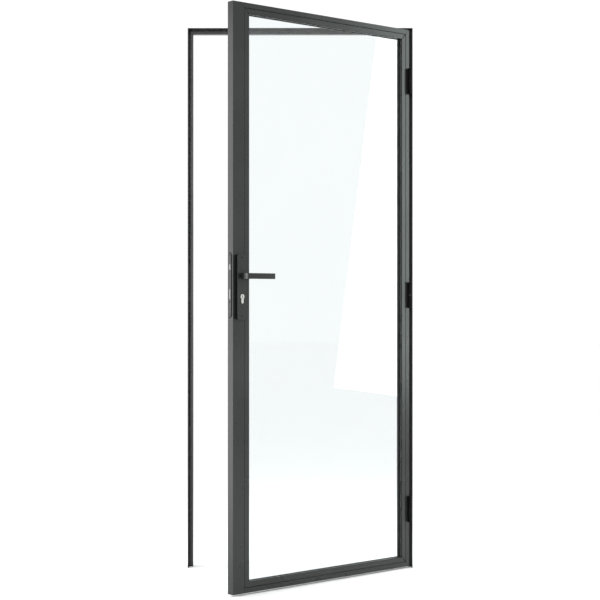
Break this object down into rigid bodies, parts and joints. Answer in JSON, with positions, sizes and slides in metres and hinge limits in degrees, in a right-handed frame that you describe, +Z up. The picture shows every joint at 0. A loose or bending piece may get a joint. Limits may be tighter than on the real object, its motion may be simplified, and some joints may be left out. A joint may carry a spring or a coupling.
{
  "type": "glazed metal door with frame",
  "caption": "Slim metal-framed glass door hung on barrel hinges in a rebated frame, standing ajar, with a lever handle on a long plate, a keyed cylinder and a flush-fronted mortice lock.",
  "frame": {"origin": "On the floor, midway between the jambs, in the plane of the frame's front face.", "axes": "+X runs across the doorway from the lock jamb to the hinge jamb, +Y runs from the opening side through the doorway, +Z is up."},
  "size_m": [0.875, 0.6427, 2.1],
  "materials": {
    "coat": "satin",
    "alloy": "satin",
    "rubber": "matte",
    "steel": "satin",
    "hinge_black": "satin",
    "brass": "satin",
    "glass": "polished",
    "plastic": "matte",
    "forend": "satin",
    "bolt": "satin",
    "nickel": "satin",
    "handle_black": "satin"
  },
  "bodies": {
    "frame": {"lock_jamb": "coat", "hinge_jamb": "coat", "head": "coat", "frame_corner_cleats": "alloy", "seal_lock": "rubber", "seal_hinge": "rubber", "seal_head": "rubber", "strike_plate": "coat", "strike_screws": "coat", "hinge_frame_half_bottom": "hinge_black", "hinge_frame_half_middle": "hinge_black", "hinge_frame_half_top": "hinge_black", "hinge_pin_bottom": "steel", "hinge_pin_middle": "steel", "hinge_pin_top": "steel", "hinge_washer_bottom": "brass", "hinge_washer_middle": "brass", "hinge_washer_top": "brass", "hinge_frame_screws": "hinge_black"},
    "leaf": {"hinge_leaf_half_bottom": "hinge_black", "hinge_leaf_half_middle": "hinge_black", "hinge_leaf_half_top": "hinge_black", "hinge_leaf_screws": "hinge_black", "lock_stile": "coat", "hinge_stile": "coat", "top_rail": "coat", "bottom_rail": "coat", "leaf_corner_cleats": "alloy", "bead_lock": "coat", "bead_hinge": "coat", "bead_top": "coat", "bead_bottom": "coat", "gasket_front": "rubber", "gasket_back": "rubber", "glass_pane": "glass", "setting_blocks": "plastic", "forend_tray": "plastic", "forend": "forend", "forend_screws": "forend", "lock_case": "steel", "lock_cover": "steel", "cylinder_body": "nickel", "cylinder_screw": "forend", "plate_front": "handle_black", "cap_front": "coat", "plate_back": "handle_black", "plate_screws": "hinge_black"},
    "handle": {"lever_front": "handle_black", "knob_back": "handle_black", "spindle": "steel", "follower": "alloy"},
    "latch": {"latch_bolt": "bolt"},
    "bolt": {"dead_bolt": "bolt"},
    "plug": {"cylinder_plug": "nickel"}
  },
  "joints": [
    {"name": "leaf_swing", "type": "hinge", "parent": "frame", "child": "leaf", "pos_m": [0.4265, -0.0085, 1], "axis": [0, 0, 1], "range_deg": [-40, 80]},
    {"name": "handle_turn", "type": "hinge", "parent": "leaf", "child": "handle", "pos_m": [-0.21248, -0.53357, 1.126], "axis": [0.6428, -0.766, 0], "range_deg": [-45, 0], "stiffness_Nm_per_rad": 1.2, "springref_deg": 14.32},
    {"name": "latch_slide", "type": "slide", "parent": "leaf", "child": "latch", "axis": [-0.766, -0.6428, 0], "range_m": [0, 0.01], "stiffness_N_per_m": 200, "springref_m": -0.004},
    {"name": "plug_turn", "type": "hinge", "parent": "leaf", "child": "plug", "pos_m": [-0.21248, -0.53357, 1.054], "axis": [0.6428, -0.766, 0], "range_deg": [0, 360]},
    {"name": "bolt_slide", "type": "slide", "parent": "leaf", "child": "bolt", "axis": [-0.766, -0.6428, 0], "range_m": [0, 0.012]}
  ],
  "couplings": [
    {"joint": "plug_turn", "follows": "bolt_slide", "rad_per_m": 523.6}
  ]
}
